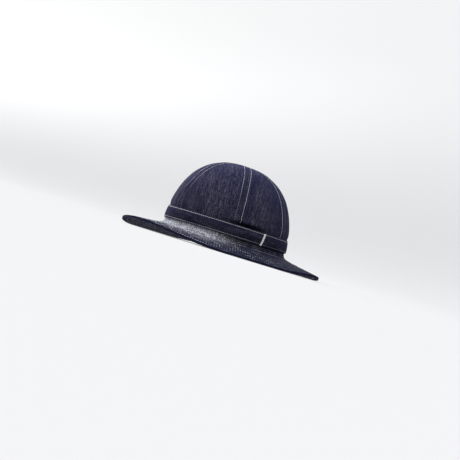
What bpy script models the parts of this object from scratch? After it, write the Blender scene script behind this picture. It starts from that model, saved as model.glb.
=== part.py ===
"""A six-panel denim field hat with a sewn band and a two-ply stitched brim, resting on its brim.

Metres, +Z up. The front faces -Y and the wearer's left is +X. The hat rests on the plane z = 0,
and the origin is on that plane, under the middle of the crown.
A turn is the angle round the hat: 0 at the front, 90 degrees at the wearer's left, 180 at the back.
"""

import math
from collections import namedtuple

import bmesh
import bpy
from mathutils import Vector

# Head opening at the seam between crown and brim
HEAD_LENGTH = 0.1952
HEAD_WIDTH = 0.1664

# Crown: height from the foot of the band to the top, how far the top leans back, and the exponent of its
# profile, 2 being an ellipse
CROWN_HEIGHT = 0.1108
CROWN_LEAN = 0.0025
CROWN_FULLNESS = 2.58
CROWN_CLOTH = 0.0015
SIDE_SEAM_TURN = 63.5
REAR_SEAM_TURN = 117.5

# Crown seams: the gap between two panels, and the ridge of turned cloth under the topstitching
SEAM_GAP = 0.0005
SEAM_RIDGE = 0.0007
SEAM_ALLOWANCE = 0.0055

# Band: the crown is drawn in under it and bulges again just above it
BAND_HEIGHT = 0.0193
BAND_CLOTH = 0.0012
BAND_PUFF = 0.0006
BAND_FLARE = 0.0006
BAND_PINCH = 0.0020
BULGE_EASE = 0.0070

# Tab: a white tape that leans across the band at the wearer's left, its upper end further back
TAB_TURN = 90.0
TAB_WIDTH = 0.0022
TAB_LENGTH = 0.0176
TAB_FOOT = 0.0004
TAB_LEAN = 0.0034
TAB_CLOTH = 0.0009

# Brim: its reach past the crown, the height of the band's foot over the plane it rests on, and two plies
BRIM_WIDTH = 0.0625
BRIM_DROP = 0.02635
BRIM_PLY = 0.0012
COLLAR_DROP = 0.0158
JOIN_RISE = 0.0045

# Space left between neighbouring pieces
CLEARANCE = 0.0003

# Rings of the brim from the crown seam to the rim: the share of its width, then how much of the upright
# collar's drop and of the remaining drop lies behind it
Ring = namedtuple("Ring", "reach collar flare")
BRIM_RINGS = (
    Ring(reach=0.000, collar=0.00, flare=0.00),
    Ring(reach=0.001, collar=0.39, flare=0.00),
    Ring(reach=0.007, collar=0.56, flare=0.00),
    Ring(reach=0.032, collar=0.78, flare=0.00),
    Ring(reach=0.070, collar=0.91, flare=0.02),
    Ring(reach=0.145, collar=1.00, flare=0.09),
    Ring(reach=0.300, collar=1.00, flare=0.30),
    Ring(reach=0.500, collar=1.00, flare=0.51),
    Ring(reach=0.680, collar=1.00, flare=0.69),
    Ring(reach=0.820, collar=1.00, flare=0.84),
    Ring(reach=0.945, collar=1.00, flare=1.00),
    Ring(reach=1.000, collar=1.00, flare=1.00),
)

# Places where the rim stands clear of the plane: where, how far to each side, and the share of the drop
Lift = namedtuple("Lift", "turn spread share")
RIM_LIFTS = (
    Lift(turn=0.0, spread=60.0, share=0.40),
    Lift(turn=125.0, spread=35.0, share=0.17),
    Lift(turn=-125.0, spread=35.0, share=0.17),
)

# Section of the band from its foot up: the share of its height, and how far it puffs off the crown
BandRow = namedtuple("BandRow", "height puff")
BAND_ROWS = (
    BandRow(height=0.00, puff=0.1),
    BandRow(height=0.11, puff=0.1),
    BandRow(height=0.26, puff=1.0),
    BandRow(height=0.60, puff=0.7),
    BandRow(height=0.89, puff=0.0),
    BandRow(height=1.00, puff=0.1),
)

# Facets
ROUND_FACETS = 64
PANEL_COLUMNS = 10
DOME_ROWS = 9
TAB_ROWS = 5

BRIM_STACK = 2 * BRIM_PLY + CLEARANCE
BAND_FOOT = BRIM_DROP
CROWN_FOOT = BRIM_DROP + JOIN_RISE
BRIM_START_LENGTH = HEAD_LENGTH / 2
BRIM_START_WIDTH = HEAD_WIDTH / 2
CROWN_HALF_LENGTH = BRIM_START_LENGTH + BRIM_STACK + BAND_PINCH - SEAM_GAP
CROWN_HALF_WIDTH = BRIM_START_WIDTH + BRIM_STACK + BAND_PINCH - SEAM_GAP

WELD = 0.00001
STEP = 0.0001
UP = Vector((0, 0, 1))
BACK = Vector((0, 1, 0))


def oval(turn, half_length, half_width):
    """A point of the level oval that the crown and the brim share."""
    return Vector((half_width * math.sin(turn), -half_length * math.cos(turn), 0))


def outward(turn, half_length, half_width):
    """The oval's level outward direction."""
    return Vector((math.sin(turn) / half_width, -math.cos(turn) / half_length, 0)).normalized()


def smooth(value):
    """0 below 0, 1 above 1, and an even curve between."""
    value = min(max(value, 0), 1)
    return value * value * (3 - 2 * value)


def turn_between(turn, other):
    """The angle between two turns, the short way round."""
    return abs((turn - other + math.pi) % (2 * math.pi) - math.pi)


def crown_point(turn, height):
    """The outer surface of the crown, at a height over the foot of the band."""
    fullness = max(1 - (height / CROWN_HEIGHT) ** 2, 0) ** (1 / CROWN_FULLNESS)
    pinch = BAND_PINCH * (1 - smooth((height - BAND_HEIGHT) / BULGE_EASE))
    level = oval(turn, CROWN_HALF_LENGTH, CROWN_HALF_WIDTH) * fullness
    level -= outward(turn, CROWN_HALF_LENGTH, CROWN_HALF_WIDTH) * pinch
    return level + BACK * CROWN_LEAN * height / CROWN_HEIGHT + UP * (BAND_FOOT + height)


def crown_normal(turn, height):
    """The outward direction of the crown's surface."""
    if height > CROWN_HEIGHT - STEP:
        return UP
    along = crown_point(turn, height + STEP / 2) - crown_point(turn, height - STEP / 2)
    across = crown_point(turn + STEP, height) - crown_point(turn - STEP, height)
    return across.cross(along).normalized()


def crown_heights():
    """Rows of a panel: its lower edge, the band's upper edge, the bulge over it, then even steps of the dome."""
    bulge = BAND_HEIGHT + BULGE_EASE
    start = math.asin(bulge / CROWN_HEIGHT)
    rows = [start + (math.pi / 2 - start) * row / DOME_ROWS for row in range(DOME_ROWS + 1)]
    return [JOIN_RISE, BAND_HEIGHT, bulge - BULGE_EASE / 2] + [CROWN_HEIGHT * math.sin(row) for row in rows]


def rim_lift(turn):
    """How far the rim stands over the plane that the hat rests on."""
    lift = 0
    for place in RIM_LIFTS:
        share = turn_between(turn, math.radians(place.turn)) / math.radians(place.spread)
        if share < 1:
            lift += BRIM_DROP * place.share * (1 + math.cos(math.pi * share)) / 2
    return lift


def brim_base(turn, ring):
    """The underside of the brim at one of its rings."""
    row = BRIM_RINGS[ring]
    reach = (BRIM_WIDTH + BRIM_STACK) * row.reach
    start = CROWN_FOOT - CLEARANCE
    height = start - COLLAR_DROP * row.collar - (start - COLLAR_DROP - rim_lift(turn)) * row.flare
    return oval(turn, BRIM_START_LENGTH + reach, BRIM_START_WIDTH + reach) + UP * height


def brim_normal(turn, ring):
    """The upward direction of the brim at one of its rings. The first ring carries on the crown's upright wall."""
    if ring == 0:
        return outward(turn, BRIM_START_LENGTH, BRIM_START_WIDTH)
    here = brim_base(turn, ring)
    along = (here - brim_base(turn, ring - 1)).normalized()
    if ring < len(BRIM_RINGS) - 1:
        along += (brim_base(turn, ring + 1) - here).normalized()
    across = brim_base(turn + STEP, ring) - brim_base(turn - STEP, ring)
    return along.cross(across).normalized()


def band_point(turn, height, standoff):
    """A point outside the crown, standing off it on the level."""
    gap = SEAM_GAP + CLEARANCE + BAND_CLOTH + BAND_FLARE * (1 - height / BAND_HEIGHT)
    level = outward(turn, CROWN_HALF_LENGTH, CROWN_HALF_WIDTH)
    return crown_point(turn, height) + level * (gap + standoff)


def puff_at(height):
    """How far the band puffs off the crown at a height over its foot."""
    share = height / BAND_HEIGHT
    for low, high in zip(BAND_ROWS, BAND_ROWS[1:]):
        if share <= high.height:
            along = (share - low.height) / (high.height - low.height)
            return BAND_PUFF * (low.puff + (high.puff - low.puff) * along)
    return BAND_PUFF * BAND_ROWS[-1].puff


def lay_sheet(name, columns, rows, place, cloth, material, collection):
    """A sheet of cloth: a grid whose corners are put in place, welded where they meet, then given its wall.

    place takes the column and the row of a corner. The sheet's face is outward, and its wall grows inward.
    """
    mesh = bpy.data.meshes.new(name)
    grid = bmesh.new()
    bmesh.ops.create_grid(grid, x_segments=columns, y_segments=rows, size=1)
    for corner in grid.verts:
        column = round((corner.co.x + 1) / 2 * columns)
        row = round((corner.co.y + 1) / 2 * rows)
        corner.co = place(column, row)
    bmesh.ops.remove_doubles(grid, verts=grid.verts, dist=WELD)
    grid.to_mesh(mesh)
    grid.free()
    mesh.shade_smooth()
    mesh.set_sharp_from_angle(angle=math.radians(40))
    mesh.materials.append(material)
    sheet = bpy.data.objects.new(name, mesh)
    collection.objects.link(sheet)
    wall = sheet.modifiers.new("Wall", "SOLIDIFY")
    wall.thickness = cloth
    wall.offset = -1
    wall.use_even_offset = True
    return sheet


def cloth_material(name, colour, roughness):
    material = bpy.data.materials.new(name)
    material.use_nodes = True
    shader = material.node_tree.nodes["Principled BSDF"]
    shader.inputs["Base Color"].default_value = (*colour, 1)
    shader.inputs["Roughness"].default_value = roughness
    shader.inputs["Metallic"].default_value = 0
    material.diffuse_color = (*colour, 1)
    return material


def build_panel(name, start_turn, end_turn, material, collection):
    """One gore of the crown, moved out along its middle so that a seam gap opens on both sides."""
    start = math.radians(start_turn)
    end = math.radians(end_turn)
    heights = crown_heights()
    middle = oval((start + end) / 2, CROWN_HALF_LENGTH, CROWN_HALF_WIDTH).normalized() * SEAM_GAP

    def place(column, row):
        share = (1 - math.cos(math.pi * column / PANEL_COLUMNS)) / 2
        turn = start + (end - start) * share
        height = heights[row]
        point = crown_point(turn, height)
        radius = Vector((point.x, point.y)).length
        from_seam = min(turn - start, end - turn) * radius
        ridge = SEAM_RIDGE * (1 - smooth(from_seam / SEAM_ALLOWANCE - 1))
        free = smooth((height - BAND_HEIGHT) / BULGE_EASE)
        return point + crown_normal(turn, height) * ridge * free + middle

    return lay_sheet(name, PANEL_COLUMNS, len(heights) - 1, place, CROWN_CLOTH, material, collection)


def build_crown(collection):
    denim = cloth_material("crown_denim", (0.034, 0.036, 0.062), 0.85)
    for side, sign in (("left", 1), ("right", -1)):
        spans = (
            ("panel_front_" + side, 0, SIDE_SEAM_TURN),
            ("panel_side_" + side, SIDE_SEAM_TURN, REAR_SEAM_TURN),
            ("panel_back_" + side, REAR_SEAM_TURN, 180),
        )
        for name, near, far in spans:
            low, high = sorted((sign * near, sign * far))
            build_panel(name, low, high, denim, collection)


def build_band(collection):
    """The folded strip round the foot of the crown, held down near both edges and puffed between."""
    denim = cloth_material("band_denim", (0.022, 0.022, 0.040), 0.85)

    def place(column, row):
        turn = 2 * math.pi * (column % ROUND_FACETS) / ROUND_FACETS
        height = BAND_HEIGHT * BAND_ROWS[row].height
        return band_point(turn, height, BAND_PUFF * BAND_ROWS[row].puff)

    lay_sheet("hat_band", ROUND_FACETS, len(BAND_ROWS) - 1, place, BAND_CLOTH, denim, collection)


def build_tab(collection):
    """The white tape across the band, a clearance off its face."""
    tape = cloth_material("white_tape", (0.70, 0.70, 0.72), 0.7)
    middle = math.radians(TAB_TURN)
    radius = BRIM_START_WIDTH + BRIM_STACK

    def place(column, row):
        share = row / TAB_ROWS
        turn = middle + ((column - 0.5) * TAB_WIDTH + (share - 0.5) * TAB_LEAN) / radius
        height = TAB_FOOT + TAB_LENGTH * share
        return band_point(turn, height, puff_at(height) + CLEARANCE + TAB_CLOTH)

    lay_sheet("side_tab", 1, TAB_ROWS, place, TAB_CLOTH, tape, collection)


def build_ply(name, standoff, colour, collection):
    """One ring of the brim, a given way over the surface that the brim rests on."""
    denim = cloth_material(name + "_denim", colour, 0.85)

    def place(column, row):
        turn = 2 * math.pi * (column % ROUND_FACETS) / ROUND_FACETS
        return brim_base(turn, row) + brim_normal(turn, row) * standoff

    rings = len(BRIM_RINGS) - 1
    lay_sheet(name, ROUND_FACETS, rings, place, BRIM_PLY, denim, collection)


def build_brim(collection):
    build_ply("brim_under", 0, (0.036, 0.034, 0.046), collection)
    build_ply("brim_upper", BRIM_PLY + CLEARANCE, (0.080, 0.082, 0.110), collection)


def main():
    for thing in list(bpy.data.objects):
        bpy.data.objects.remove(thing, do_unlink=True)
    hat = bpy.data.collections.new("army_hat")
    bpy.context.scene.collection.children.link(hat)
    build_crown(hat)
    build_band(hat)
    build_tab(hat)
    build_brim(hat)


main()
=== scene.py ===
# %% [markdown]
# # A denim field hat, sewn piece by piece
# The hat has a domed crown of six panels, a folded band with a small white tab, and a wide brim of two plies
# held together by rows of stitching. It rests on its brim on a pale floor.
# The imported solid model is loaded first. Every piece below is modelled around it, in metres, in its frame:
# +Z is up, the front of the hat faces -Y and the wearer's left is +X.

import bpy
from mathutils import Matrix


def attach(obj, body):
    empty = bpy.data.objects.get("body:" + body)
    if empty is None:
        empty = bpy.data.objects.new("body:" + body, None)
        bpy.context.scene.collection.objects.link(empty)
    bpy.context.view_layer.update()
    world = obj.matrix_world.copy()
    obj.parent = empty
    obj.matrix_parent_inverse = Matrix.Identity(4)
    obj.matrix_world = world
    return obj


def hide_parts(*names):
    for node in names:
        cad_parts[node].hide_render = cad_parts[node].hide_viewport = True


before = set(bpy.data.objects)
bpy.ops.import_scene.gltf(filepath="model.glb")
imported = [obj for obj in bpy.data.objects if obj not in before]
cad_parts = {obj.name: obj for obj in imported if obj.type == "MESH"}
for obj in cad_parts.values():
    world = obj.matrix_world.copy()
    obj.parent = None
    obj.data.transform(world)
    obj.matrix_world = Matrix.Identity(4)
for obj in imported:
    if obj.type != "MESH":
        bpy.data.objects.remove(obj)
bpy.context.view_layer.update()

# %% What the cells below use
import math
from collections import namedtuple

import bmesh
import bpy
import numpy as np
from mathutils import Matrix, Vector, noise
from mathutils.bvhtree import BVHTree

MM = 0.001
UP = Vector((0, 0, 1))

# %% [markdown]
# ## The sizes
# A hat is cut to the head. The opening is an oval of 57 cm round, and the crown, the band and the brim all
# follow it. These are the sizes of the solid model, which keeps the two alike.
# A place round the hat is named by its turn: 0 at the front, 90 degrees at the wearer's left and 180 at the
# back.

# %% Sizes of the hat
HEAD_WIDE, HEAD_LONG = 0.1664 / 2, 0.1952 / 2
CROWN_WIDE, CROWN_LONG = 0.0874, 0.1018
CROWN_RADIUS = (CROWN_WIDE + CROWN_LONG) / 2
CROWN_HEIGHT = 0.1108
CROWN_FULLNESS = 2.58  # the power of the dome's curve: 2 draws half an ellipse, and more is fuller
CROWN_CLOTH = 1.5 * MM
SEAM_TURNS = (0, 63.5, 117.5, 180, 242.5, 296.5, 360)
SEAM_GAP = 0.5 * MM
BAND_FOOT = 0.02635
BAND_HEIGHT = 0.0193
BAND_CLOTH = 1.2 * MM
PINCH, PINCH_EASE = 2.0 * MM, 7.0 * MM  # how far the band draws the crown in, and how soon that is over
JOIN_RISE = 4.5 * MM  # where the crown meets the brim, over the band's foot
PLY = 1.2 * MM
CLEARANCE = 0.3 * MM
BRIM_REACH = 0.0652
brim_size = [round((half + BRIM_REACH) * 2, 4) for half in (HEAD_LONG, HEAD_WIDE)]
print("the brim is", brim_size[0], "m long and", brim_size[1], "m wide")

# %% [markdown]
# ## Working as by hand, without a window
# Each piece starts from a primitive, which is opened in edit mode and shaped there. An operator works on
# everything that is selected, so only() leaves one object selected. Each modifier is applied, because a
# finished piece is a plain mesh.

# %% Starting a piece, selecting it, applying modifiers
def begin(name, primitive, **settings):
    """Adds a primitive at the origin and opens it in edit mode, with all of it selected."""
    primitive(location=(0, 0, 0), **settings)
    piece = bpy.context.object
    piece.name = piece.data.name = name
    bpy.ops.object.mode_set(mode="EDIT")
    bpy.ops.mesh.select_all(action="SELECT")
    return piece


def only(piece):
    """Leaves this one object selected and active."""
    bpy.ops.object.select_all(action="DESELECT")
    piece.select_set(True)
    bpy.context.view_layer.objects.active = piece


def apply(piece, kind, **settings):
    """Adds a modifier to a piece, sets it up and applies it."""
    only(piece)
    modifier = piece.modifiers.new(kind, kind)
    for setting, value in settings.items():
        setattr(modifier, setting, value)
    bpy.ops.object.modifier_apply(modifier=modifier.name)


def smooth_cage(piece, levels):
    """Rounds a coarse cage into an even, fine mesh."""
    apply(piece, "SUBSURF", levels=levels, render_levels=levels)


def give_wall(piece, cloth, edge):
    """Gives a sheet the thickness of its cloth, inward, and rounds its cut edges."""
    apply(piece, "SOLIDIFY", thickness=cloth, offset=-1, use_even_offset=True)
    apply(piece, "BEVEL", width=edge, segments=2, limit_method="ANGLE", angle_limit=math.radians(55))
    bpy.ops.object.shade_smooth_by_angle(angle=math.radians(50))


def triangles(piece):
    return sum(len(face.vertices) - 2 for face in piece.data.polygons)


# %% [markdown]
# ## Reading and pressing a surface
# Cloth is never quite even. After a piece has its main form, its corners are moved a little along their own
# normals, as a sculpting brush moves them. How far is a formula on their places, which come as one array.

# %% Moving corners along their normals
def corners_of(piece):
    places = np.empty(len(piece.data.vertices) * 3)
    piece.data.vertices.foreach_get("co", places)
    return places.reshape(-1, 3)


def put_corners(piece, places):
    piece.data.vertices.foreach_set("co", places.ravel())
    piece.data.update()


def press(piece, lift):
    """Moves each corner along its normal by lift(places), in metres."""
    places = corners_of(piece)
    normals = np.empty(places.size)
    piece.data.vertex_normals.foreach_get("vector", normals)
    put_corners(piece, places + normals.reshape(-1, 3) * lift(places)[:, None])


def mark(piece, name, amount):
    """Stores a number from 0 to 1 for each corner, such as how worn the cloth is there."""
    attribute = piece.data.attributes.new(name, "FLOAT", "POINT")
    attribute.data.foreach_set("value", np.clip(amount, 0, 1))


def smooth(value):
    """0 below 0, 1 above 1, and an even curve between."""
    value = np.clip(value, 0, 1)
    return value * value * (3 - 2 * value)


def near(distance, reach):
    """A soft bump: 1 where the distance is 0, fading out over the reach."""
    return np.exp(-((distance / reach) ** 2))


def unevenness(places, size, seed):
    """Smooth chance values, about -1 to 1, that change over this size in metres."""
    shift = Vector((seed * 7.3, seed * 3.1, seed * 5.7))
    return np.array([noise.noise(Vector(place) + shift) for place in places / size])


# %% [markdown]
# ## The crown
# The dome is six gores of denim, narrow at the top, seamed together. A gore is the side line of the dome
# carried round from one seam to the next, which is what the Spin operator does. So the side line is drawn by
# extruding one corner from point to point, spun, and then made oval with a resize. The dome is fuller than
# half an ellipse, it is drawn in under the band, and it bulges again just above the band. A subdivision
# surface then rounds the gore. It would also draw in the tip and leave a hole where the six tips meet, so the
# tip is creased first.

# %% The side line of the dome
def pinch_at(height):
    """How far the crown is drawn in under the band."""
    return PINCH * (1 - smooth((height - BAND_HEIGHT) / PINCH_EASE))


def fullness_at(height):
    """The share of the foot's radius that the dome has at a height over the band's foot."""
    return np.clip(1 - (height / CROWN_HEIGHT) ** 2, 0, 1) ** (1 / CROWN_FULLNESS)


def dome_side(steps):
    """Even steps up the side: shares of the foot's radius, heights, and lengths along the cloth."""
    heights = CROWN_HEIGHT * np.sin(np.linspace(math.asin(JOIN_RISE / CROWN_HEIGHT), math.pi / 2, 600))
    shares = np.clip(fullness_at(heights) - pinch_at(heights) / CROWN_RADIUS, 0, 1)
    lengths = np.hypot(np.diff(shares) * CROWN_RADIUS, np.diff(heights))
    run = np.concatenate([[0], np.cumsum(lengths)])
    wanted = np.linspace(0, run[-1], steps)
    return np.interp(wanted, run, shares), np.interp(wanted, run, heights), wanted


PANEL_ROWS, PANEL_COLUMNS = 30, 12
SIDE_SHARES, SIDE_HEIGHTS, SIDE_RUN = dome_side(PANEL_ROWS)
print("side of the dome:", round(SIDE_RUN[-1] / MM), "mm from the join to the top")


# %% Drawing a gore and spinning it
def on_oval(turn, wide=CROWN_WIDE, long=CROWN_LONG, height=0):
    """The point at this turn of an oval round the hat, the crown's own unless another is given."""
    return Vector((wide * math.sin(turn), -long * math.cos(turn), height))


def keep_tip(panel):
    """Creases the highest corner, so that smoothing leaves it where the six gores meet."""
    bpy.ops.mesh.select_all(action="DESELECT")
    bpy.ops.mesh.select_mode(type="VERT")
    shell = bmesh.from_edit_mesh(panel.data)
    max(shell.verts, key=lambda corner: corner.co.z).select_set(True)
    bmesh.update_edit_mesh(panel.data)
    bpy.ops.transform.vert_crease(value=1)


def draw_panel(name, start, end):
    """Draws the side line at one seam and spins it to the next."""
    panel = begin(name, bpy.ops.mesh.primitive_plane_add, size=MM)
    bpy.ops.mesh.merge(type="CENTER")
    at = Vector()
    for step, (share, height) in enumerate(zip(SIDE_SHARES, SIDE_HEIGHTS)):
        point = on_oval(start, share, share, BAND_FOOT + height)
        if step:
            bpy.ops.mesh.extrude_vertices_move(TRANSFORM_OT_translate={"value": point - at})
        else:
            bpy.ops.transform.translate(value=point)
        at = point
    bpy.ops.mesh.select_all(action="SELECT")
    bpy.ops.mesh.spin(steps=PANEL_COLUMNS, angle=start - end, center=(0, 0, 0), axis=(0, 0, 1))
    bpy.ops.mesh.select_all(action="SELECT")
    bpy.ops.mesh.remove_doubles(threshold=0.01 * MM)
    bpy.ops.mesh.normals_make_consistent(inside=False)
    bpy.ops.transform.resize(value=(CROWN_WIDE, CROWN_LONG, 1), center_override=(0, 0, 0))
    keep_tip(panel)
    bpy.ops.object.mode_set(mode="OBJECT")
    return panel


# %% [markdown]
# ### The seams of the crown
# Inside the hat the cloth is turned back to both sides of each seam and stitched down. From outside this
# shows as a low flat ridge with a groove along its middle, where the two panels meet, and a dimple along each
# line of stitches. Between the seams the cloth is a little uneven, and beside the left ear it folds over the
# top of the band.

# %% Relief of a panel
STITCH_LINE = 5.3 * MM  # from the seam
RIDGE, RIDGE_HALF = 0.6 * MM, 5.0 * MM
GROOVE, DIMPLE, PUCKER = 0.50 * MM, 0.30 * MM, 0.25 * MM
LONG_SAG, SHORT_SAG = 0.45 * MM, 0.15 * MM
FOLD, FOLD_TURN, FOLD_SPREAD = 2.6 * MM, math.radians(74), math.radians(15)


def from_seam(places, turn):
    """The level distance of each place from the upright plane of a seam."""
    seam = on_oval(turn).normalized()
    return np.abs(places[:, 0] * seam.y - places[:, 1] * seam.x)


def turn_of(places):
    """The turn of each place of the crown, from -180 to 180 degrees, in radians."""
    return np.arctan2(places[:, 0] / CROWN_WIDE, -places[:, 1] / CROWN_LONG)


def fold_over_band(places):
    """Beside the left ear the crown folds over the top of the band, with a deep tuck under the fold."""
    above = places[:, 2] - BAND_FOOT - BAND_HEIGHT
    beside = near(turn_of(places) - FOLD_TURN, FOLD_SPREAD)
    fold = near(above - 6.5 * MM, 4.0 * MM)
    tuck = near(above - 0.5 * MM, 2.2 * MM)
    return FOLD * beside * (fold - tuck)


def panel_relief(start, end):
    def lift(places):
        distance = np.minimum(from_seam(places, start), from_seam(places, end))
        free = smooth((places[:, 2] - BAND_FOOT - BAND_HEIGHT) / PINCH_EASE)
        ridge = RIDGE * (1 - smooth((distance - RIDGE_HALF) / (2.0 * MM)))
        groove = GROOVE * near(distance, 1.0 * MM)
        dimple = DIMPLE * near(distance - STITCH_LINE, 1.0 * MM)
        pucker = PUCKER * unevenness(places, 4.5 * MM, 1) * near(distance - STITCH_LINE, 4.0 * MM)
        sag = LONG_SAG * unevenness(places, 34 * MM, 2) + SHORT_SAG * unevenness(places, 12 * MM, 3)
        return (ridge - groove - dimple + pucker + sag) * free + fold_over_band(places)
    return lift


# %% Make the six panels
CROWN_LEAN, CROWN_SINK = -0.0008, 0.0013
PANEL_SHIFT = SEAM_GAP * 0.2  # outward, so that two panels never touch


def settle(piece):
    """Soft cloth sinks a little under its own weight: the top of the dome lies lower and nearer the front."""
    places = corners_of(piece)
    share = (places[:, 2] - BAND_FOOT) / CROWN_HEIGHT
    places[:, 1] += CROWN_LEAN * share
    places[:, 2] -= CROWN_SINK * share ** 2
    put_corners(piece, places)


def make_panel(name, start, end):
    panel = draw_panel(name, start, end)
    smooth_cage(panel, 2)
    press(panel, panel_relief(start, end))
    settle(panel)
    out = on_oval((start + end) / 2).normalized()
    put_corners(panel, corners_of(panel) + np.array(out) * PANEL_SHIFT)
    give_wall(panel, CROWN_CLOTH, 0.4 * MM)
    return panel


PANEL_NAMES = ("front_left", "side_left", "back_left", "back_right", "side_right", "front_right")
panels = []
for name, low, high in zip(PANEL_NAMES, SEAM_TURNS, SEAM_TURNS[1:]):
    panel = make_panel("crown_" + name, math.radians(low), math.radians(high))
    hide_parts("panel_" + name)
    panels.append(panel)
    print(panel.name, triangles(panel), "triangles")

# %% [markdown]
# ## The band
# The band is a folded strip of the same denim, sewn down 2 mm from its upper and its lower edge, so it puffs
# out between the two lines. It is a tube of oval rings: a circle is made oval, then extruded upward ring by
# ring, each new ring resized to its own width.

# %% A tube of oval rings
Ring = namedtuple("Ring", "wide long high")


def draw_rings(name, corners, rings):
    """The first ring is a circle made oval. Each next one is extruded from it, resized and moved."""
    tube = begin(name, bpy.ops.mesh.primitive_circle_add, vertices=corners, radius=1)
    last = Ring(1, 1, 0)
    for step, ring in enumerate(rings):
        if step:
            bpy.ops.mesh.extrude_edges_move()
        size = (ring.wide / last.wide, ring.long / last.long, 1)
        bpy.ops.transform.resize(value=size, center_override=(0, 0, 0))
        bpy.ops.transform.translate(value=(0, 0, ring.high - last.high))
        last = ring
    bpy.ops.mesh.select_all(action="SELECT")
    bpy.ops.mesh.normals_make_consistent(inside=False)
    bpy.ops.object.mode_set(mode="OBJECT")
    return tube


def face_way(piece, wanted):
    """Turns the faces over if most of them look against wanted(centre), a direction."""
    faces = piece.data.polygons
    agreeing = sum(face.normal.dot(wanted(face.center)) > 0 for face in faces)
    if agreeing < len(faces) / 2:
        piece.data.flip_normals()
    print(piece.name, "had", agreeing, "of", len(faces), "faces the right way")


# %% Sections of the band
BandRow = namedtuple("BandRow", "rise puff")
BAND_ROWS = [BandRow(*row) for row in (
    (0, 0.30), (0.035, 0.28), (0.075, 0.05), (0.11, -0.05), (0.15, 0.30), (0.22, 0.85), (0.34, 1.10),
    (0.50, 0.90), (0.66, 0.62), (0.79, 0.35), (0.86, 0.05), (0.90, -0.20), (0.935, 0.05), (0.975, 0.18),
    (1, 0.02),
)]
BAND_PUFF, BAND_FLARE = 0.6 * MM, 0.6 * MM
BAND_LINES = (0.10, 0.90)  # where its two rows of stitches run, in shares of its height


def band_ring(row):
    """The outer ring of the band at one row, outside the crown that it is sewn to."""
    height = row.rise * BAND_HEIGHT
    fullness = fullness_at(height)
    out = SEAM_GAP + CLEARANCE + BAND_CLOTH + BAND_FLARE * (1 - row.rise) + BAND_PUFF * row.puff - PINCH
    return Ring(CROWN_WIDE * fullness + out, CROWN_LONG * fullness + out, BAND_FOOT + height)


def outward(place):
    return Vector((place.x, place.y, 0))


def band_relief(places):
    """The strip eases a little round the hat, with small puckers along both lines of stitches."""
    rise = (places[:, 2] - BAND_FOOT) / BAND_HEIGHT
    puckers = unevenness(places * (1, 1, 0.4), 3.6 * MM, 4)
    lines = sum(near(rise - line, 0.10) for line in BAND_LINES)
    return 0.20 * MM * puckers * lines + 0.25 * MM * unevenness(places, 22 * MM, 5)


band = draw_rings("band", 112, [band_ring(row) for row in BAND_ROWS])
face_way(band, outward)
smooth_cage(band, 2)
press(band, band_relief)
settle(band)
give_wall(band, BAND_CLOTH, 0.35 * MM)
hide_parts("hat_band")
print("band", triangles(band), "triangles")

# %% [markdown]
# ## The brim
# The brim is two rings of denim, one over the other. Below the band it drops almost straight down, coves
# out, and then flares to the rim. Where the hat's weight rests, at the sides and at the back, the underside
# is pressed flat on the floor; the front and the two rear quarters lift off it.
# One section line serves both plies: the underside follows it, and the upper face stands off it by the
# thickness of both.

# %% Section of the brim
BrimRow = namedtuple("BrimRow", "reach drop flare")
COLLAR_DROP = 15.8 * MM
BRIM_START = BAND_FOOT + JOIN_RISE - CLEARANCE
BRIM_ROWS = [BrimRow(*row) for row in (
    (0, 0, 0), (0.001, 0.39, 0), (0.007, 0.56, 0), (0.032, 0.78, 0), (0.07, 0.91, 0.02), (0.145, 1, 0.09),
    (0.22, 1, 0.195), (0.30, 1, 0.30), (0.40, 1, 0.405), (0.50, 1, 0.51), (0.59, 1, 0.60), (0.68, 1, 0.69),
    (0.75, 1, 0.765), (0.82, 1, 0.84), (0.885, 1, 0.925), (0.945, 1, 1), (1, 1, 1),
)]


def brim_rings(standoff):
    """The rings of a face of the brim that stands off the underside."""
    line = [Vector((row.reach * BRIM_REACH, BRIM_START - COLLAR_DROP * row.drop
                    - (BRIM_START - COLLAR_DROP) * row.flare)) for row in BRIM_ROWS]
    rings = []
    for step, point in enumerate(line):
        along = line[min(step + 1, len(line) - 1)] - line[max(step - 1, 0)]
        off = Vector((-along.y, along.x)).normalized() if step else Vector((1, 0))
        point = point + off * standoff
        rings.append(Ring(HEAD_WIDE + point.x, HEAD_LONG + point.x, point.y))
    return rings


# %% Where a place is on the brim
def brim_places(places):
    """The level distance of each place outside the head oval, and its turn."""
    x, y = places[:, 0], places[:, 1]
    reach = np.zeros(len(places))
    for _ in range(8):
        wide, long = HEAD_WIDE + reach, HEAD_LONG + reach
        miss = (x / wide) ** 2 + (y / long) ** 2 - 1
        reach += miss / (2 * (x ** 2 / wide ** 3 + y ** 2 / long ** 3))
    return reach, np.arctan2(x / (HEAD_WIDE + reach), -y / (HEAD_LONG + reach))


def wrapped(angles):
    """The same angles, between half a turn back and half a turn on."""
    return (angles + math.pi) % (2 * math.pi) - math.pi


Lift = namedtuple("Lift", "turn spread rise")
RIM_LIFTS = (Lift(0, 60, 0.40 * BAND_FOOT), Lift(125, 35, 0.17 * BAND_FOOT), Lift(-125, 35, 0.17 * BAND_FOOT))


def rim_lift(turns):
    """How far the rim stands over the floor."""
    total = np.zeros(len(turns))
    for lift in RIM_LIFTS:
        away = np.abs(wrapped(turns - math.radians(lift.turn)))
        share = np.minimum(away / math.radians(lift.spread), 1)
        total += lift.rise * (1 + np.cos(math.pi * share)) / 2
    return total


def bend_rim(piece):
    """Lifts the rim where it stands clear of the floor, and the rest of the flare in proportion."""
    places = corners_of(piece)
    reach, turns = brim_places(places)
    line = [row.reach * BRIM_REACH for row in BRIM_ROWS]
    flare = np.interp(reach, line, [row.flare for row in BRIM_ROWS])
    places[:, 2] += rim_lift(turns) * flare
    put_corners(piece, places)


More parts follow.
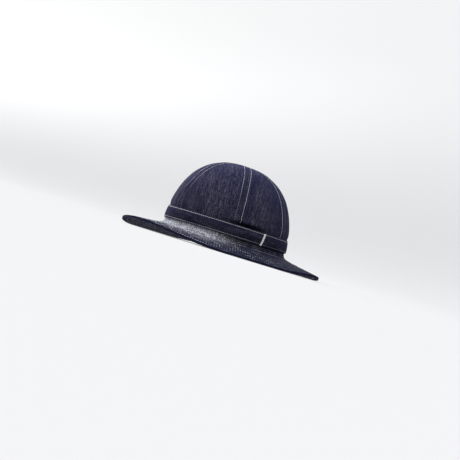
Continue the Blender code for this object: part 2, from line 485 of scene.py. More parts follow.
# %% [markdown]
# ### The rows of stitching in the relief
# Each row of stitches pulls the two plies together. The cloth puffs up between the rows and gathers into
# short puckers across them, which is what catches the light on the real brim. The seven rows are 8.2 mm
# apart. Just under the band, where the cloth is gathered into the round, it crinkles.

# %% Relief of the brim
STITCH_ROWS = [reach * MM for reach in (8.0, 16.2, 24.4, 32.6, 40.8, 49.0, 57.2)]
FIRST_SPAN, LAST_SPAN = 6 * MM, 8 * MM
TOP_PUFF, LINING_PUFF = 0.50 * MM, 0.30 * MM
GATHER, GATHER_SIZE = 0.65 * MM, 3.4 * MM
RIPPLE, CRINKLE, ROW_DEPTH = 0.30 * MM, 0.40 * MM, 0.15 * MM


def row_shapes(reach):
    """For each place: how near it is to a row of stitches, and how high the cloth puffs between rows."""
    rows = np.array(STITCH_ROWS)
    away = np.abs(reach[:, None] - rows).min(axis=1)
    spans = np.diff(np.concatenate([[rows[0] - FIRST_SPAN], rows, [rows[-1] + LAST_SPAN]]))
    index = np.clip(np.searchsorted(rows, reach), 0, len(rows))
    half = spans[index] / 2
    puff = np.sqrt(np.clip(1 - (1 - np.minimum(away / half, 1)) ** 2, 0, 1))
    return near(away, 1.2 * MM), puff


def gathers_at(reach, turns, size, seed):
    """Chance folds of this size round the hat, and twice as long from the crown to the rim."""
    round_the_hat = np.column_stack([reach * 0.45, np.cos(turns) * 0.13, np.sin(turns) * 0.13])
    return unevenness(round_the_hat, size, seed)


def crinkles_at(places, seed):
    """Short creases of the gathered cloth just under the band."""
    return unevenness(places * (1, 1, 1.7), 3.2 * MM, seed)


def brim_relief(seed, puff_height):
    def lift(places):
        reach, turns = brim_places(places)
        row, puff = row_shapes(reach)
        gathers = gathers_at(reach, turns, GATHER_SIZE, seed)
        ripples = gathers_at(reach, turns, 9 * MM, seed + 1)
        free = smooth((reach - 3 * MM) / (5 * MM)) * smooth((BRIM_REACH + 2 * MM - reach) / (5 * MM))
        relief = puff_height * puff + GATHER * gathers * (0.45 + 0.55 * row) + RIPPLE * ripples
        under_band = smooth((BAND_FOOT - 1.5 * MM - places[:, 2]) / (2 * MM))
        collar = under_band * (1 - smooth((reach - 4 * MM) / (6 * MM)))
        return (relief - ROW_DEPTH * row) * free + CRINKLE * crinkles_at(places, seed + 2) * collar
    return lift


# %% Make the two plies
def make_ply(name, standoff, way, levels, relief):
    """One ply of the brim, whose outer face looks this way and doesn't go under the floor."""
    ply = draw_rings(name, 144, brim_rings(standoff))
    face_way(ply, lambda place: way)
    smooth_cage(ply, levels)
    bend_rim(ply)
    press(ply, relief)
    places = corners_of(ply)
    places[:, 2] = np.maximum(places[:, 2], 0)
    put_corners(ply, places)
    give_wall(ply, PLY, 0.5 * MM)
    return ply


TOP_SEED, LINING_SEED = 11, 17
brim_top = make_ply("brim_top", 2 * PLY + CLEARANCE, UP, 2, brim_relief(TOP_SEED, TOP_PUFF))
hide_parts("brim_upper")

brim_lining = make_ply("brim_lining", 0, -UP, 1, brim_relief(LINING_SEED, LINING_PUFF))
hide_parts("brim_under")
print("brim", triangles(brim_top), "and", triangles(brim_lining), "triangles")

# %% [markdown]
# ## The tab
# A short white tape is sewn upright across the band at the wearer's left. Its ends are tucked under and sewn
# down, which makes them a little wider. It is modelled flat beside the hat and then pressed onto the band
# with Shrinkwrap, as a hand would press it on.

# %% Make the tab
TAB_WIDE, TAB_LONG, TAB_CLOTH = 3.0 * MM, 18.2 * MM, 1.0 * MM
TAB_SLANT, TAB_BACK = 4.4 * MM, 2.6 * MM  # its top lies further back than its foot
TAB_FOOT = BAND_FOOT + 0.2 * MM
TAB_GAP = 0.15 * MM
END_WIDER, END_SHARE = 0.35, 0.09


def make_tab():
    tab = begin("tab", bpy.ops.mesh.primitive_plane_add, size=1)
    bpy.ops.mesh.subdivide(number_cuts=11)
    bpy.ops.object.mode_set(mode="OBJECT")
    across = corners_of(tab)
    side, rise = across[:, 0], across[:, 1]
    beside = np.full(len(side), CROWN_WIDE + 12 * MM)
    side = side * (1 + END_WIDER * near(0.5 - np.abs(rise), END_SHARE))
    places = np.column_stack([beside, TAB_BACK + side * TAB_WIDE + rise * TAB_SLANT,
                              TAB_FOOT + (rise + 0.5) * TAB_LONG])
    put_corners(tab, places)
    face_way(tab, outward)
    apply(tab, "SHRINKWRAP", target=band, wrap_method="PROJECT", use_project_x=True, use_project_y=False,
          use_project_z=False, use_negative_direction=True, use_positive_direction=False,
          offset=TAB_CLOTH + TAB_GAP)
    return tab


tab = make_tab()
print("tab from", corners_of(tab)[:, 0].min(), "to", corners_of(tab)[:, 0].max(), "m on the left")
give_wall(tab, TAB_CLOTH, 0.25 * MM)
smooth_cage(tab, 1)
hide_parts("side_tab")

# %% [markdown]
# ## The stitches
# Pale thread is what draws the hat: two lines along every seam of the crown, two round the band, three close
# ones under it and seven round the brim, which show below as well. One stitch is a small ball stretched into
# a spindle. An Array modifier repeats it at an even pitch, and a Curve modifier lays the row along a line.
# The lines are found on the finished cloth, as nearest points or along rays, so no stitch floats.

# %% Laying a line of stitches on the cloth
STITCH_LENGTH, STITCH_PITCH, THREAD = 2.8 * MM, 3.3 * MM, 0.72 * MM


def surface_of(piece):
    """A search tree of a piece's faces."""
    corners = [corner.co for corner in piece.data.vertices]
    return BVHTree.FromPolygons(corners, [face.vertices for face in piece.data.polygons])


def draw_path(points, closed):
    """A curve of straight pieces through the points."""
    curve = bpy.data.curves.new("path", "CURVE")
    curve.dimensions = "3D"
    line = curve.splines.new("POLY")
    line.points.add(len(points) - 1)
    for corner, point in zip(line.points, points):
        corner.co = (*point, 1)
    line.use_cyclic_u = closed
    path = bpy.data.objects.new("path", curve)
    bpy.context.scene.collection.objects.link(path)
    return path


def white(places):
    """Thread that is pale everywhere."""
    return np.ones(len(places))


def sew(points, closed=False, thread=THREAD, pitch=STITCH_PITCH, clean=white):
    """One line of stitches along the points. Its last argument tells how pale the thread is at each place."""
    path = draw_path(points, closed)
    loop = points + points[:1] if closed else points
    length = sum((b - a).length for a, b in zip(loop, loop[1:]))
    count = round(length / pitch)
    stitches = begin("line", bpy.ops.mesh.primitive_uv_sphere_add, segments=6, ring_count=4, radius=0.5)
    bpy.ops.transform.resize(value=(thread, thread, STITCH_LENGTH), center_override=(0, 0, 0))
    bpy.ops.object.mode_set(mode="OBJECT")
    upright = corners_of(stitches)
    put_corners(stitches, np.column_stack([upright[:, 2] + STITCH_LENGTH / 2, upright[:, 1], -upright[:, 0]]))
    apply(stitches, "ARRAY", fit_type="FIXED_COUNT", count=count, use_relative_offset=False,
          use_constant_offset=True, constant_offset_displace=(length / count, 0, 0))
    apply(stitches, "CURVE", object=path, deform_axis="POS_X")
    bpy.data.objects.remove(path)
    mark(stitches, "clean", clean(corners_of(stitches)))
    return stitches


def join(name, parts):
    """Joins lines of stitches into one piece."""
    whole = parts[0]
    only(whole)
    for part in parts:
        part.select_set(True)
    bpy.ops.object.join()
    bpy.ops.object.shade_smooth()
    whole.name = whole.data.name = name
    print(name, triangles(whole), "triangles")
    return whole


# %% Stitches along the seams of the crown
THREAD_RISE = 0.10 * MM
POINT_STEP, TIP_CLEAR = 2.5 * MM, 9.5 * MM
OUTSIDE = 1.02  # each point starts a little outside the dome


def seam_line(panel, turn, side):
    """Points beside a seam, on the face of one panel, from the band's edge to near the top."""
    surface = surface_of(panel)
    seam = on_oval(turn).normalized()
    beside = Vector((-seam.y, seam.x, 0)) * side * STITCH_LINE
    points = []
    for height in np.linspace(BAND_HEIGHT + 0.5 * MM, CROWN_HEIGHT, 400):
        rise = height / CROWN_HEIGHT
        share = fullness_at(height) * OUTSIDE
        lean = Vector((0, CROWN_LEAN * rise, BAND_FOOT + height - CROWN_SINK * rise ** 2))
        point = on_oval(turn, CROWN_WIDE * share, CROWN_LONG * share)
        if point.length < TIP_CLEAR:
            break
        found, normal, *_ = surface.find_nearest(point + lean + beside)
        if not points or (found - points[-1]).length > POINT_STEP:
            points.append(found + normal * THREAD_RISE)
    return points


Dull = namedtuple("Dull", "clean below")
DULL_LINES = {(0, 1): Dull(0.15, 48 * MM), (360, -1): Dull(0.15, 48 * MM), (63.5, -1): Dull(0.25, 48 * MM),
              (117.5, 1): Dull(0.10, 85 * MM)}  # by the seam's turn and the line's side of it
PALER_OVER = 30 * MM


def paler_upwards(dull):
    """A line of thread that is darker in its lower part, and paler higher up."""
    def clean(places):
        paler = smooth((places[:, 2] - BAND_FOOT - dull.below) / PALER_OVER)
        return dull.clean + (1 - dull.clean) * 0.9 * paler
    return clean


lines = []
for panel, low, high in zip(panels, SEAM_TURNS, SEAM_TURNS[1:]):
    for turn, side in ((low, 1), (high, -1)):
        points = seam_line(panel, math.radians(turn), side)
        lines.append(sew(points, clean=paler_upwards(DULL_LINES.get((turn, side), Dull(1, 0)))))
crown_stitches = join("crown_stitches", lines)


# %% Stitches round the band and the brim
def line_round(surface, wide, long, height, way=None, rise=THREAD_RISE):
    """Points round the hat where rays meet the cloth: level rays inward, or rays of one given way."""
    points = []
    for turn in np.linspace(0, 2 * math.pi, 480, endpoint=False):
        start = on_oval(turn, wide, long, height)
        inward = Vector((-math.sin(turn) / wide, math.cos(turn) / long, 0)).normalized()
        found, normal, *_ = surface.ray_cast(start, way or inward)
        points.append(found + normal * rise)
    return points


def behind_ear(places, spread):
    """1 at 112 degrees of turn, behind either ear, fading out over this spread in degrees."""
    return near(np.degrees(np.abs(turn_of(places))) - 112, spread)


def shaded_behind_ears(depth, spread, palest=1):
    """A row of thread painted darker there, as painted shade."""
    def clean(places):
        return palest * (1 - depth * behind_ear(places, spread))
    return clean


band_face = surface_of(band)
lines = []
# Painted shade: the lower row is darker all round, and both rows are darker behind the ears.
for rise, depth, palest in zip(BAND_LINES, (0.90, 0.45), (0.60, 1)):
    points = line_round(band_face, CROWN_WIDE + 0.02, CROWN_LONG + 0.02, BAND_FOOT + rise * BAND_HEIGHT)
    stain_and_shade = shaded_behind_ears(depth, 42, palest)
    lines.append(sew(points, closed=True, thread=1.05 * MM, clean=stain_and_shade))
band_stitches = join("band_stitches", lines)

COLLAR_ROWS = (23.4 * MM, 20.9 * MM, 18.2 * MM)
BRIM_PITCH = 4.0 * MM
top_face = surface_of(brim_top)
lines = []
for height in COLLAR_ROWS:
    points = line_round(top_face, HEAD_WIDE + 0.03, HEAD_LONG + 0.03, height)
    # Painted shade: darker behind the ears.
    lines.append(sew(points, closed=True, thread=0.55 * MM, clean=shaded_behind_ears(0.6, 30)))
for reach in STITCH_ROWS:
    points = line_round(top_face, HEAD_WIDE + reach, HEAD_LONG + reach, BAND_FOOT, -UP, 0.25 * MM)
    # Painted shade: the rows are darker behind the ears.
    stain_and_shade = shaded_behind_ears(0.85, 26)
    lines.append(sew(points, closed=True, thread=0.85 * MM, pitch=BRIM_PITCH, clean=stain_and_shade))
brim_stitches = join("brim_stitches", lines)

lining_face = surface_of(brim_lining)
lines = []
for reach in STITCH_ROWS:
    points = line_round(lining_face, HEAD_WIDE + reach, HEAD_LONG + reach, -BAND_FOOT, UP)
    lines.append(sew(points, closed=True, thread=0.7 * MM, pitch=BRIM_PITCH))
lining_stitches = join("lining_stitches", lines)

# %% [markdown]
# ## Finishes
# A finish is a small network of nodes. Numbers that change over the cloth are easier to read as sums and
# products than as boxes and wires, so one small class lets a socket be used in an expression, and each
# operation adds its Math node. Everything else comes from one method that adds a node of any kind.

# %% Shader maths as expressions
def overload(operation):
    """An operator that adds this kind of Math node, and its form for a plain number on the left."""
    def plain(self, other):
        return self.maths(operation, self, other)

    def reflected(self, other):
        return self.maths(operation, other, self)
    return plain, reflected


class Amount:
    """A number that changes over the cloth: the output of a node."""
    __add__, __radd__ = overload("ADD")
    __sub__, __rsub__ = overload("SUBTRACT")
    __mul__, __rmul__ = overload("MULTIPLY")
    __truediv__, __rtruediv__ = overload("DIVIDE")

    def __init__(self, finish, socket):
        self.finish, self.socket = finish, socket

    def maths(self, operation, *numbers):
        return self.finish.node("Math", {"operation": operation}, dict(enumerate(numbers)))

    def wave(self):
        """A sine wave between 0 and 1, of one period for each whole number."""
        return self.maths("SINE", self * (2 * math.pi)) * 0.5 + 0.5

    def step(self, low, high):
        """0 at low and below, 1 at high and above, smooth between."""
        return self.finish.node("MapRange", {"interpolation_type": "SMOOTHSTEP"},
                                {"Value": self, "From Min": low, "From Max": high})


class Finish:
    """A material, or the air of the studio, whose nodes are added from Python."""

    def __init__(self, name, kinds=bpy.data.materials):
        self.owner = kinds.new(name)
        self.owner.use_nodes = True
        self.tree = self.owner.node_tree
        self.tree.nodes.clear()

    def node(self, kind, settings=None, inputs=None, output=0):
        """Adds a node, sets it up, feeds its sockets, and returns one of its outputs."""
        made = self.tree.nodes.new("ShaderNode" + kind)
        for setting, value in (settings or {}).items():
            setattr(made, setting, value)
        for name, value in (inputs or {}).items():
            if isinstance(value, Amount):
                self.tree.links.new(value.socket, made.inputs[name])
            else:
                made.inputs[name].default_value = value
        return Amount(self, made.outputs[output]) if made.outputs else made

    def blend(self, share, one, other):
        """A colour between two colours."""
        return self.node("Mix", {"data_type": "RGBA"}, {0: share, 6: one, 7: other}, 2)

    def marked(self, name):
        """A number that mark() stored on the corners."""
        return self.node("Attribute", {"attribute_name": name}, output=2)

    def cloth_places(self):
        """The two numbers of the piece's own UV map, in metres: across the cloth and along it."""
        across = self.node("SeparateXYZ", None, {0: self.node("UVMap", {"uv_map": "cloth"})})
        return across, Amount(self, across.socket.node.outputs[1])

    def noise(self, across, along, size, detail=2.0):
        """Chance values from 0 to 1 whose grains are size = (across, along) metres."""
        place = self.node("CombineXYZ", None, {0: across / size[0], 1: along / size[1]})
        sockets = {"Vector": place, "Scale": 1.0, "Detail": detail}
        return self.node("TexNoise", {"noise_dimensions": "2D"}, sockets)

    def shader(self, colour, roughness, relief, depth, fixed):
        """The shader itself, with relief as a bump of this depth in metres, and its fixed numbers."""
        bump = self.node("Bump", None, {"Height": relief, "Distance": depth, "Strength": 1.0})
        sockets = {"Base Color": colour, "Roughness": roughness, "Normal": bump, **fixed}
        return self.node("BsdfPrincipled", None, sockets)

    def done(self, shader):
        self.node("OutputMaterial", None, {"Surface": shader})
        return self.owner


# %% [markdown]
# ### A flat pattern for every piece
# Denim has a direction, so its pattern has to lie on each piece as it was cut. Each piece gets a UV map in
# metres: the first number runs across the cloth and the second along its warp, the dark threads.
# On a gore of the crown, the warp runs along the seam next to the ears, so the first number is the distance
# from that seam, measured round the hat. In the band the warp runs round the hat. The brim was cut from flat
# cloth, with the warp from front to back.

# %% Laying the cloth's pattern on a piece
def lay_pattern(piece, across, along, turns=None, lap=0):
    """Writes the UV map. Where a closed piece comes round again, its last faces count on by the lap."""
    mesh = piece.data
    while mesh.uv_layers:
        mesh.uv_layers.remove(mesh.uv_layers[0])
    layer = mesh.uv_layers.new(name="cloth")
    corner = np.empty(len(mesh.loops), int)
    mesh.loops.foreach_get("vertex_index", corner)
    values = np.column_stack([across[corner], along[corner]])
    if turns is not None:
        starts = np.empty(len(mesh.polygons), int)
        sizes = np.empty(len(mesh.polygons), int)
        mesh.polygons.foreach_get("loop_start", starts)
        mesh.polygons.foreach_get("loop_total", sizes)
        face = np.repeat(np.arange(len(starts)), sizes)
        turn = turns[corner]
        highest = np.maximum.reduceat(turn, starts)
        lowest = np.minimum.reduceat(turn, starts)
        values[(highest - lowest > math.pi)[face] & (turn < 0), 1] += lap
    layer.data.foreach_set("uv", values.ravel())


# %% Patterns and wear of the crown
WARP_SEAMS = [SEAM_TURNS[seam] for seam in (1, 1, 2, 4, 5, 5)]
SIDE_ANGLES = np.arctan2(SIDE_HEIGHTS, SIDE_SHARES * CROWN_RADIUS)

for panel, low, high, warp_seam in zip(panels, SEAM_TURNS, SEAM_TURNS[1:], WARP_SEAMS):
    places = corners_of(panel)
    height = places[:, 2] - BAND_FOOT
    radius = np.hypot(places[:, 0] / CROWN_WIDE, places[:, 1] / CROWN_LONG) * CROWN_RADIUS
    across = wrapped(turn_of(places) - math.radians(warp_seam)) * radius
    along = np.interp(np.arctan2(height, radius), SIDE_ANGLES, SIDE_RUN)
    lay_pattern(panel, across + low * MM, along)
    seam = np.minimum(from_seam(places, math.radians(low)), from_seam(places, math.radians(high)))
    mark(panel, "wear", near(seam - 1.6 * MM, 1.1 * MM) * (0.7 + 0.5 * unevenness(places, 5 * MM, 6)))
    # Darker just over the band and bluer towards the top; the bluer top is painted top light.
    mark(panel, "fade_and_painted_light", smooth((height - BAND_HEIGHT) / (75 * MM)))
    # More pale streaks mid-panel, where it is rubbed; fewer behind the ears, which is painted shade.
    mark(panel, "rubbed_and_painted_shade", smooth((seam - 4 * MM) / (24 * MM)) * (1 - behind_ear(places, 22)))
    # The tuck over the band beside the left ear is painted nearly black: painted shade.
    in_tuck = near(turn_of(places) - FOLD_TURN, 1.15 * FOLD_SPREAD)
    mark(panel, "painted_tuck_shade", in_tuck * (1 - smooth((height - BAND_HEIGHT - 3.4 * MM) / (3.2 * MM))))

# %% Patterns and wear of the band, the brim and the tab
BAND_RADIUS = 0.095

places = corners_of(band)
_, turns = brim_places(places)
rise = (places[:, 2] - BAND_FOOT) / BAND_HEIGHT
lay_pattern(band, places[:, 2], turns * BAND_RADIUS, turns, 2 * math.pi * BAND_RADIUS)
mark(band, "wear", (near(rise - 1.0, 0.05) + near(rise, 0.05)) * 0.8)
# The band is painted darker at its foot than at its top: painted shade.
mark(band, "fade_and_painted_light", smooth((rise - 0.15) / 0.7))
mark(band, "rubbed_and_painted_shade", np.full(len(places), 0.6))

# The front of the brim is painted paler towards the band as a painted sheen: its share by reach in mm.
PAINTED_SHEEN_REACH, PAINTED_SHEEN_SHARE = (0, 6, 12, 20, 28, 38, 50, 60), (1, 1, 0.84, 0.36, 0.14, 0.05, 0.01, 0)
QUILTED_FROM, QUILTED_TO = 4.2 * MM, 59.5 * MM
for ply, seed in ((brim_top, TOP_SEED), (brim_lining, LINING_SEED)):
    places = corners_of(ply)
    reach, turns = brim_places(places)
    lay_pattern(ply, places[:, 0], places[:, 1])
    row, _ = row_shapes(reach)
    crest = smooth(0.5 + 1.6 * gathers_at(reach, turns, GATHER_SIZE, seed))
    collar = 1 - smooth((reach - QUILTED_FROM) / (1.5 * MM))
    quilted = (1 - collar) * smooth((QUILTED_TO - reach) / (2 * MM))
    mark(ply, "wear", quilted * crest * (0.35 + 0.65 * row))
    # Painted sheen: strongest at the front-left, fading to the sides and the rim, and crinkled under the
    # band.
    front = 1 - smooth((np.degrees(np.abs(turns)) - 34) / 40)
    front *= 0.7 + 0.3 * smooth((np.degrees(turns) - 2) / 25)
    towards_rim = np.interp(reach / MM, PAINTED_SHEEN_REACH, PAINTED_SHEEN_SHARE)
    crinkled = collar * smooth(0.90 + 1.1 * crinkles_at(places, seed + 2))
    mark(ply, "painted_sheen", front * towards_rim * np.maximum(0.40 + 0.60 * crest, crinkled))
    mark(ply, "pressed", quilted)
    # The collar is painted greyer, most around a turn of 62 degrees, as painted light.
    mark(ply, "collar", collar * (0.15 + 0.85 * near(turns - math.radians(62), math.radians(22))))

places = corners_of(tab)
lay_pattern(tab, places[:, 1], places[:, 2])

# %% [markdown]
# ### Denim
# Denim is woven from dark warp and pale weft threads. The warp lies over three weft threads and under one,
# and each row steps one thread sideways, which draws the fine diagonal lines. The warp threads are spun
# unevenly: a thicker stretch, called a slub, shows as a pale streak, and whole swaths are paler than others.
# Where the cloth is rubbed, over ridges, along edges and in the middle of a panel, the dark dye wears off
# first. Painted shade makes the cloth darker behind the ears and at the foot of the band, and nearly black
# in the tuck over the band. The crown is darker just over the band and bluer towards its top, and the blue
# top is painted top light. The front of the brim is painted paler as a painted sheen, and a second shader
# with strong silver sheen is mixed in there. The collar under the band is painted greyer as painted light,
# and the lining is painted lighter than the upper denim as painted light from below.

# %% The denim finish
WARP_PITCH, TWILL_PITCH = 0.55 * MM, 1.65 * MM
PRESSED_GLOSS = 0.35
# The first is a grey painted on the collar as painted light; the second, nearly black, is painted shade.
COLLAR_PAINTED_LIGHT, TUCK_SHADE = (0.045, 0.046, 0.044, 1), (0.001, 0.001, 0.002, 1)
DENIM_MARKS = ("wear", "fade_and_painted_light", "pressed", "collar", "painted_sheen", "painted_tuck_shade", "rubbed_and_painted_shade")


def denim(name, dark, pale, streaks, depth, fixed, top=None, silver=None):
    """Denim that goes from dark towards the top colour where marked, with pale streaks. Where a painted sheen
    is marked, it is paler and silver is mixed in.
    """
    finish = Finish(name)
    across, along = finish.cloth_places()
    wear, fade_and_painted_light, pressed, collar, painted_sheen, painted_tuck_shade, rubbed_and_painted_shade = [finish.marked(each) for each in DENIM_MARKS]
    warp = (across / WARP_PITCH).wave()
    twill = ((across + along) / TWILL_PITCH).wave()
    slubs = finish.noise(across, along, (2.2 * MM, 30 * MM), 1.0).step(0.48, 0.72)
    threads = finish.noise(across, along, (1.5 * MM, 8 * MM), 1.0).step(0.45, 0.70)
    clouds = finish.noise(across, along, (24 * MM, 36 * MM), 3.0).step(0.3, 0.7)
    grains = finish.noise(across, along, (1.5 * MM, 2.0 * MM), 1.0).step(0.42, 0.72)
    swaths = finish.noise(across, along, (8 * MM, 55 * MM)).step(0.35, 0.68)
    weft = (1 - twill).step(0.62, 0.95) * grains
    worn = (wear * (0.25 + grains)).step(0.15, 0.95)
    # The marked share adds pale streaks mid-panel and, as painted shade, takes them away behind the ears.
    yarns = (slubs * 0.7 + threads * 0.8 + grains * 0.9 + weft * 0.6) * (0.40 + swaths * 0.6 + rubbed_and_painted_shade * 0.6)
    # The painted sheen adds much pale colour here.
    share = (yarns + clouds * 0.22) * streaks + worn * 0.12 + painted_sheen * (0.41 + grains * 1.25)
    # Towards the top colour where marked: partly painted top light on the crown, painted shade at the band's
    # foot.
    colour = finish.blend(share, finish.blend(fade_and_painted_light, dark, top or dark), pale)
    # Painted light: the collar is blended towards a lit grey.
    colour = finish.blend(collar * 0.35, colour, COLLAR_PAINTED_LIGHT)
    # Painted shade: the tuck over the band is blended nearly to black.
    colour = finish.blend(painted_tuck_shade * 0.9, colour, TUCK_SHADE)
    relief = twill * 0.55 + warp * 0.25 + slubs * 0.5 + grains * 0.4
    roughness = 0.90 + clouds * 0.04 - pressed * PRESSED_GLOSS
    cloth = finish.shader(colour, roughness, relief, depth, fixed)
    # Where the painted sheen is marked, a shader with strong silver sheen is mixed in over the paler colour.
    if silver:
        shining = finish.shader(colour, roughness, relief, depth, silver)
        cloth = finish.node("MixShader", None, {0: painted_sheen, 1: cloth, 2: shining})
    return finish.done(cloth)


MATT = {"Specular IOR Level": 0.03}
FUZZ = {**MATT, "Sheen Weight": 0.08, "Sheen Roughness": 0.45, "Sheen Tint": (0.16, 0.20, 0.62, 1)}
SILVER = {"Specular IOR Level": 0.25, "Sheen Weight": 1.0, "Sheen Roughness": 0.6,
          "Sheen Tint": (0.84, 0.87, 1.0, 1)}
# The crown's top colour is bluer: painted top light.
CROWN_DENIM = denim("crown_denim", (0.0078, 0.0085, 0.0305, 1), (0.205, 0.190, 0.235, 1), 0.19, 0.10 * MM,
                    FUZZ, top=(0.0085, 0.0118, 0.048, 1))
# The band's top colour is lighter than its foot: painted shade at the foot.
BAND_DENIM = denim("band_denim", (0.0030, 0.0034, 0.015, 1), (0.145, 0.135, 0.175, 1), 0.16, 0.08 * MM,
                   FUZZ, top=(0.0118, 0.0124, 0.038, 1))
# The brim's pale colour is the colour of its painted sheen.
BRIM_DENIM = denim("brim_denim", (0.0038, 0.0052, 0.022, 1), (0.720, 0.730, 0.790, 1), 0.012, 0.06 * MM,
                   FUZZ, silver=SILVER)
# The lining is painted much lighter than the brim's upper denim: painted light from below.
LINING_DENIM = denim("brim_lining_denim", (0.028, 0.028, 0.064, 1), (0.16, 0.16, 0.20, 1), 0.18, 0.08 * MM,
                     MATT)


# %% [markdown]
# ### Thread and tape
# The thread is pale cotton, slightly fuzzy, with indigo rubbed into it here and there. Painted shade
# darkens it behind the ears and on the band's lower row. The tape is woven white cotton with fine cross ribs.

# %% Thread and tape finishes
SOFT = {"Sheen Weight": 0.2}


def thread_finish(name, low, high, stain_and_shade):
    """Thread that is stained where its noise is under low, and pale where it is over high."""
    finish = Finish(name)
    place = finish.node("TexCoord", output=3)
    fuzz = finish.node("TexNoise", None, {"Vector": place, "Scale": 2400.0, "Detail": 2.0})
    clean = finish.node("TexNoise", None, {"Vector": place, "Scale": 95.0, "Detail": 3.0}).step(low, high)
    # The share marked on each line darkens it, which is painted shade behind the ears and on the band's lower
    # row.
    clean = clean * finish.marked("clean") * (0.75 + fuzz * 0.25)
    colour = finish.blend(clean, stain_and_shade, (0.86, 0.86, 0.90, 1))
    return finish.done(finish.shader(colour, 0.75 + fuzz * 0.1, fuzz, 0.05 * MM, SOFT))


def tape_finish():
    finish = Finish("white_tape")
    across, along = finish.cloth_places()
    ribs = (along / (0.6 * MM)).wave()
    yarns = (across / (0.35 * MM)).wave()
    soil = finish.noise(across, along, (2 * MM, 6 * MM))
    colour = finish.blend(soil * 0.4 + ribs * 0.2, (0.97, 0.97, 0.98, 1), (0.84, 0.84, 0.87, 1))
    relief = ribs * 0.6 + yarns * 0.3
    return finish.done(finish.shader(colour, 0.62 + soil * 0.1, relief, 0.08 * MM, SOFT))


PALE_THREAD = thread_finish("pale_thread", 0.22, 0.48, (0.045, 0.045, 0.075, 1))
STAINED_THREAD = thread_finish("stained_thread", 0.40, 0.66, (0.060, 0.065, 0.100, 1))
WHITE_TAPE = tape_finish()

# %% Give every piece its finish and its ride
FINISHES = [(panel, CROWN_DENIM) for panel in panels] + [
    (band, BAND_DENIM), (brim_top, BRIM_DENIM), (brim_lining, LINING_DENIM), (tab, WHITE_TAPE),
    (crown_stitches, PALE_THREAD), (band_stitches, PALE_THREAD), (brim_stitches, STAINED_THREAD),
    (lining_stitches, STAINED_THREAD),
]
for piece, finish in FINISHES:
    piece.data.materials.clear()
    piece.data.materials.append(finish)
    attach(piece, "root")
print(sum(triangles(piece) for piece, _ in FINISHES), "triangles in all")

# %% [markdown]
# ## The camera
# The photograph looks up at the hat a little. A hat that lies on a floor can't be seen from below, so the
# camera stands as low as it can, 8 mm over the floor. It is 1.85 m away, towards the wearer's left and the
# front, and it is turned 17 degrees about its own line of sight, as in the photograph.

# %% Camera
CAMERA_TURN, CAMERA_ROLL = math.radians(52.7), math.radians(17.1)
CAMERA_DISTANCE, CAMERA_HEIGHT = 1.85, 8 * MM
PIXELS, FOCAL, SENSOR = 460, 1205, 36  # the focal length in pixels, the sensor in millimetres
AIM, AIM_PIXEL = Vector((0, 0, BAND_FOOT)), (225.2, 235.3)


def place_camera():
    rise = math.asin((CAMERA_HEIGHT - AIM.z) / CAMERA_DISTANCE)
    towards = on_oval(CAMERA_TURN, math.cos(rise), math.cos(rise), math.sin(rise))
    eye = AIM + towards * CAMERA_DISTANCE
    level = Vector((math.cos(CAMERA_TURN), math.sin(CAMERA_TURN), 0))
    over = towards.cross(level)
    right = level * math.cos(CAMERA_ROLL) + over * math.sin(CAMERA_ROLL)
    up = over * math.cos(CAMERA_ROLL) - level * math.sin(CAMERA_ROLL)
    off_right = (AIM_PIXEL[0] - PIXELS / 2) / FOCAL
    off_up = (PIXELS / 2 - AIM_PIXEL[1]) / FOCAL
    back = (towards + right * off_right + up * off_up).normalized()
    right = (right - back * right.dot(back)).normalized()
    up = back.cross(right)
    bpy.ops.object.camera_add()
    camera = bpy.context.object
    camera.name = "camera"
    camera.matrix_world = Matrix((right, up, back)).transposed().to_4x4()
    camera.location = eye
    camera.data.sensor_width = SENSOR
    camera.data.lens = FOCAL * SENSOR / PIXELS
    camera.data.clip_start, camera.data.clip_end = 0.002, 30
    bpy.context.scene.camera = camera
    print("camera at", eye)
    return towards, level


camera_back, camera_right = place_camera()


# %% [markdown]
# ## The studio
# The floor is a wide pale disc whose edge turns up into a wall all round, so no horizon shows from any side.
# Both glow a little, less towards the right, where the photograph's background is darker too. They throw no
# light on the hat: it is lit by two far soft lamps, behind and above to the left, and by the pale air.

# %% Floor and wall in one piece
FLOOR_RADIUS, SWEEP, SWEEP_STEPS, WALL = 3.2, 1.2, 12, 0.7


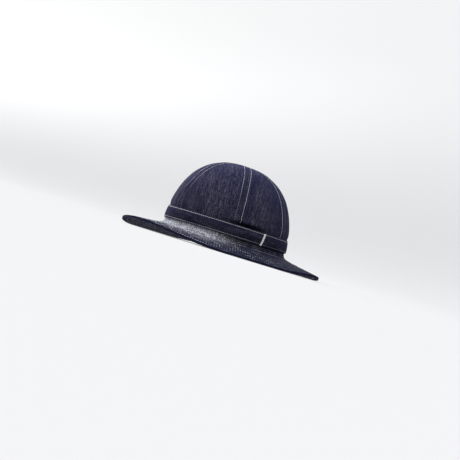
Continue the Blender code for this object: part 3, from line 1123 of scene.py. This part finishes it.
def make_studio():
    disc = {"vertices": 96, "radius": FLOOR_RADIUS, "fill_type": "NGON"}
    studio = begin("studio", bpy.ops.mesh.primitive_circle_add, **disc)
    bpy.ops.mesh.region_to_loop()
    radius, height = FLOOR_RADIUS, 0.0
    for step in range(1, SWEEP_STEPS + 1):
        bend = math.radians(90) * step / SWEEP_STEPS
        wider, higher = FLOOR_RADIUS + SWEEP * math.sin(bend), SWEEP * (1 - math.cos(bend))
        bpy.ops.mesh.extrude_edges_move(TRANSFORM_OT_translate={"value": (0, 0, higher - height)})
        bpy.ops.transform.resize(value=(wider / radius, wider / radius, 1), center_override=(0, 0, 0))
        radius, height = wider, higher
    bpy.ops.mesh.extrude_edges_move(TRANSFORM_OT_translate={"value": (0, 0, WALL)})
    bpy.ops.object.mode_set(mode="OBJECT")
    face_way(studio, lambda place: UP * 2 - outward(place))
    bpy.ops.object.shade_smooth()
    studio.visible_shadow = studio.visible_diffuse = False
    return studio


studio = make_studio()
paint = Finish("studio_paint")
place = paint.node("TexCoord", output=3)
mottle = paint.node("TexNoise", None, {"Vector": place, "Scale": 3.0})
beside = paint.node("VectorMath", {"operation": "DOT_PRODUCT"}, {0: place, 1: camera_right}, 1)
beside = beside.step(-2.0, 2.0)
raised = (paint.node("SeparateXYZ", None, {0: place}, 2) / (0.45 + beside)).step(0.0, 1.0)
wall_glow = paint.blend(beside, (0.70, 0.70, 0.695, 1), (0.56, 0.565, 0.575, 1))
glow = paint.blend(raised, (0.20, 0.20, 0.20, 1), wall_glow)
colour = paint.blend(mottle, (0.49, 0.49, 0.49, 1), (0.51, 0.51, 0.51, 1))
glowing = {"Specular IOR Level": 0.0, "Emission Color": glow, "Emission Strength": 1.0}
studio.data.materials.append(paint.done(paint.shader(colour, 0.95, mottle, 0.01 * MM, glowing)))


# %% Lamps
def add_lamp(name, way, strength, softness):
    """A far soft lamp, which lights the whole floor alike. Its softness is the angle that it fills."""
    bpy.ops.object.light_add(type="SUN", location=AIM + way.normalized() * 3)
    lamp = bpy.context.object
    lamp.name = name
    lamp.data.energy, lamp.data.angle = strength, math.radians(softness)
    lamp.rotation_mode = "QUATERNION"
    lamp.rotation_quaternion = way.to_track_quat("Z", "Y")


add_lamp("lamp_behind_left", -camera_back - camera_right * 0.85 + UP * 0.8, 2.3, 34)
add_lamp("lamp_above_left", camera_back * 0.5 - camera_right * 1.2 + UP * 1.7, 0.95, 34)

air = Finish("studio_air", bpy.data.worlds)
upwards = air.node("SeparateXYZ", None, {0: air.node("TexCoord")}, 2).step(-0.1, 1.0)
light = air.node("Background", None, {0: air.blend(upwards, (0.36, 0.36, 0.365, 1), (0.94, 0.95, 0.99, 1))})
air.node("OutputWorld", None, {"Surface": light})
bpy.context.scene.world = air.owner
bpy.context.scene.view_settings.view_transform = "Standard"
